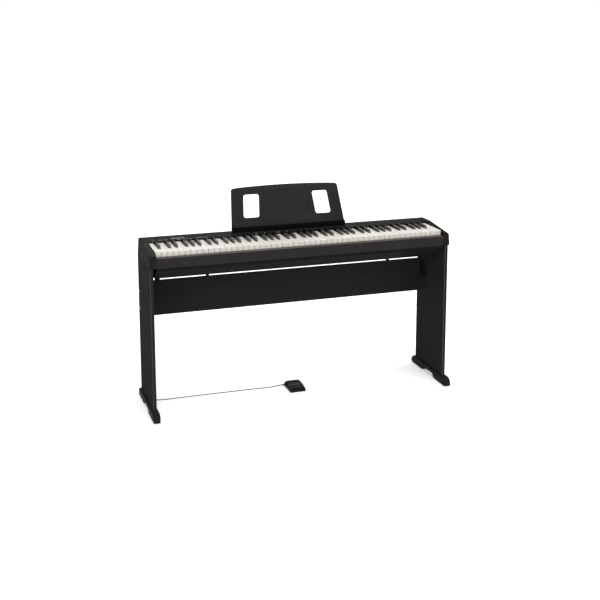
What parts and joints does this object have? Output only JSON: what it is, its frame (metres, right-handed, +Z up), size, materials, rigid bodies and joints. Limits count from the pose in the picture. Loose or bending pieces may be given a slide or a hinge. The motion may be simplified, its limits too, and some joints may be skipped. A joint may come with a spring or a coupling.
{
  "type": "digital piano on stand",
  "caption": "Slim 88-note digital piano on a two-panel wooden stand, with hinged keys, a lift-off music rest, push buttons and a corded damper pedal.",
  "frame": {"origin": "on the floor, under the centre of the stand's footprint", "axes": "+X towards the treble end, -Y towards the player, +Z up"},
  "size_m": [1.292, 0.3932, 0.8693],
  "materials": {
    "laminate_board": "black textured laminate",
    "foot_plastic": "fine grained",
    "case_plastic": "satin moulded",
    "rest_plastic": "satin moulded",
    "rubber_black": "matte",
    "bracket_steel": "black powder coat",
    "fastener_steel": "black zinc",
    "ivory_white": "ivory feel",
    "ebony_black": "ebony feel",
    "frame_plastic": "glass filled",
    "hammer_steel": "zinc plated",
    "circuit_board": "solder mask",
    "speaker_basket": "black",
    "speaker_paper": "pressed paper",
    "socket_plastic": "matte",
    "socket_metal": "nickel",
    "button_plastic": "satin",
    "pedal_plastic": "satin",
    "spring_steel": "bright",
    "cord_pvc": "matte"
  },
  "bodies": {
    "root": {"back_board": "laminate_board", "board_bolts": "fastener_steel", "bottom_case": "case_plastic", "bracket_screws": "fastener_steel", "case_screws": "fastener_steel", "contact_board": "circuit_board", "dc_inlet": "socket_plastic", "foot_pads": "rubber_black", "foot_screws": "fastener_steel", "hammers": "hammer_steel", "headphone_jack": "socket_plastic", "key_frame": "frame_plastic", "key_slip": "case_plastic", "knob_bolts": "foot_plastic", "left_foot": "foot_plastic", "left_side_panel": "laminate_board", "main_board": "circuit_board", "pedal_base": "pedal_plastic", "pedal_cord": "cord_pvc", "pedal_cord_coil": "cord_pvc", "pedal_cord_rise": "cord_pvc", "pedal_jack": "socket_plastic", "pedal_mat": "rubber_black", "pedal_pivot_pin": "spring_steel", "pedal_plug": "cord_pvc", "pedal_spring": "spring_steel", "pedal_strain_relief": "cord_pvc", "right_foot": "foot_plastic", "right_side_panel": "laminate_board", "rubber_feet": "rubber_black", "speaker_cones": "speaker_paper", "speaker_frames": "speaker_basket", "support_brackets": "bracket_steel", "top_case": "case_plastic", "usb_port": "socket_metal"},
    "music_rest": {"music_rest": "rest_plastic"},
    "pedal_tread": {"pedal_tread": "pedal_plastic"},
    "power_button": {"power_button": "button_plastic"},
    "function_button": {"function_button": "button_plastic"},
    "volume_down_button": {"volume_down_button": "button_plastic"},
    "volume_up_button": {"volume_up_button": "button_plastic"},
    "piano_button": {"piano_button": "button_plastic"},
    "song_button": {"song_button": "button_plastic"},
    "key_c4": {"white_key_c4": "ivory_white"},
    "key_d4": {"white_key_d4": "ivory_white"},
    "key_e4": {"white_key_e4": "ivory_white"},
    "key_f4": {"white_key_f4": "ivory_white"},
    "key_g4": {"white_key_g4": "ivory_white"},
    "key_a4": {"white_key_a4": "ivory_white"},
    "key_b4": {"white_key_b4": "ivory_white"},
    "key_c4_sharp": {"black_key_c4_sharp": "ebony_black"},
    "key_d4_sharp": {"black_key_d4_sharp": "ebony_black"},
    "key_f4_sharp": {"black_key_f4_sharp": "ebony_black"},
    "key_g4_sharp": {"black_key_g4_sharp": "ebony_black"},
    "key_a4_sharp": {"black_key_a4_sharp": "ebony_black"},
    "keys_bass": {"white_keys_bass": "ivory_white", "black_keys_bass": "ebony_black"},
    "keys_treble": {"white_keys_treble": "ivory_white", "black_keys_treble": "ebony_black"}
  },
  "joints": [
    {"name": "music_rest_lift", "type": "slide", "parent": "root", "child": "music_rest", "axis": [0, 0.3584, 0.9336], "range_m": [0, 0.06]},
    {"name": "pedal_tread_hinge", "type": "hinge", "parent": "root", "child": "pedal_tread", "pos_m": [0.001, 0.056, 0.015], "axis": [1, 0, 0], "range_deg": [0, 6], "stiffness_Nm_per_rad": 1.2, "springref_deg": -14.32, "deforming": ["pedal_spring"]},
    {"name": "power_button_press", "type": "slide", "parent": "root", "child": "power_button", "axis": [0, 0, -1], "range_m": [0, 0.0008], "stiffness_N_per_m": 500, "springref_m": -0.001},
    {"name": "function_button_press", "type": "slide", "parent": "root", "child": "function_button", "axis": [0, 0, -1], "range_m": [0, 0.0008], "stiffness_N_per_m": 500, "springref_m": -0.001},
    {"name": "volume_down_button_press", "type": "slide", "parent": "root", "child": "volume_down_button", "axis": [0, 0, -1], "range_m": [0, 0.0008], "stiffness_N_per_m": 500, "springref_m": -0.001},
    {"name": "volume_up_button_press", "type": "slide", "parent": "root", "child": "volume_up_button", "axis": [0, 0, -1], "range_m": [0, 0.0008], "stiffness_N_per_m": 500, "springref_m": -0.001},
    {"name": "piano_button_press", "type": "slide", "parent": "root", "child": "piano_button", "axis": [0, 0, -1], "range_m": [0, 0.0008], "stiffness_N_per_m": 500, "springref_m": -0.001},
    {"name": "song_button_press", "type": "slide", "parent": "root", "child": "song_button", "axis": [0, 0, -1], "range_m": [0, 0.0008], "stiffness_N_per_m": 500, "springref_m": -0.001},
    {"name": "key_c4_press", "type": "hinge", "parent": "root", "child": "key_c4", "pos_m": [0, 0.08, 0.654], "axis": [1, 0, 0], "range_deg": [0, 3], "stiffness_Nm_per_rad": 1, "springref_deg": -8.59},
    {"name": "key_c4_sharp_press", "type": "hinge", "parent": "root", "child": "key_c4_sharp", "pos_m": [0, 0.08, 0.654], "axis": [1, 0, 0], "range_deg": [0, 3], "stiffness_Nm_per_rad": 1, "springref_deg": -8.59},
    {"name": "key_d4_press", "type": "hinge", "parent": "root", "child": "key_d4", "pos_m": [0, 0.08, 0.654], "axis": [1, 0, 0], "range_deg": [0, 3], "stiffness_Nm_per_rad": 1, "springref_deg": -8.59},
    {"name": "key_d4_sharp_press", "type": "hinge", "parent": "root", "child": "key_d4_sharp", "pos_m": [0, 0.08, 0.654], "axis": [1, 0, 0], "range_deg": [0, 3], "stiffness_Nm_per_rad": 1, "springref_deg": -8.59},
    {"name": "key_e4_press", "type": "hinge", "parent": "root", "child": "key_e4", "pos_m": [0, 0.08, 0.654], "axis": [1, 0, 0], "range_deg": [0, 3], "stiffness_Nm_per_rad": 1, "springref_deg": -8.59},
    {"name": "key_f4_press", "type": "hinge", "parent": "root", "child": "key_f4", "pos_m": [0, 0.08, 0.654], "axis": [1, 0, 0], "range_deg": [0, 3], "stiffness_Nm_per_rad": 1, "springref_deg": -8.59},
    {"name": "key_f4_sharp_press", "type": "hinge", "parent": "root", "child": "key_f4_sharp", "pos_m": [0, 0.08, 0.654], "axis": [1, 0, 0], "range_deg": [0, 3], "stiffness_Nm_per_rad": 1, "springref_deg": -8.59},
    {"name": "key_g4_press", "type": "hinge", "parent": "root", "child": "key_g4", "pos_m": [0, 0.08, 0.654], "axis": [1, 0, 0], "range_deg": [0, 3], "stiffness_Nm_per_rad": 1, "springref_deg": -8.59},
    {"name": "key_g4_sharp_press", "type": "hinge", "parent": "root", "child": "key_g4_sharp", "pos_m": [0, 0.08, 0.654], "axis": [1, 0, 0], "range_deg": [0, 3], "stiffness_Nm_per_rad": 1, "springref_deg": -8.59},
    {"name": "key_a4_press", "type": "hinge", "parent": "root", "child": "key_a4", "pos_m": [0, 0.08, 0.654], "axis": [1, 0, 0], "range_deg": [0, 3], "stiffness_Nm_per_rad": 1, "springref_deg": -8.59},
    {"name": "key_a4_sharp_press", "type": "hinge", "parent": "root", "child": "key_a4_sharp", "pos_m": [0, 0.08, 0.654], "axis": [1, 0, 0], "range_deg": [0, 3], "stiffness_Nm_per_rad": 1, "springref_deg": -8.59},
    {"name": "key_b4_press", "type": "hinge", "parent": "root", "child": "key_b4", "pos_m": [0, 0.08, 0.654], "axis": [1, 0, 0], "range_deg": [0, 3], "stiffness_Nm_per_rad": 1, "springref_deg": -8.59},
    {"name": "keys_bass_press", "type": "hinge", "parent": "root", "child": "keys_bass", "pos_m": [0, 0.08, 0.654], "axis": [1, 0, 0], "range_deg": [0, 3], "stiffness_Nm_per_rad": 39, "springref_deg": -8.59},
    {"name": "keys_treble_press", "type": "hinge", "parent": "root", "child": "keys_treble", "pos_m": [0, 0.08, 0.654], "axis": [1, 0, 0], "range_deg": [0, 3], "stiffness_Nm_per_rad": 37, "springref_deg": -8.59}
  ]
}
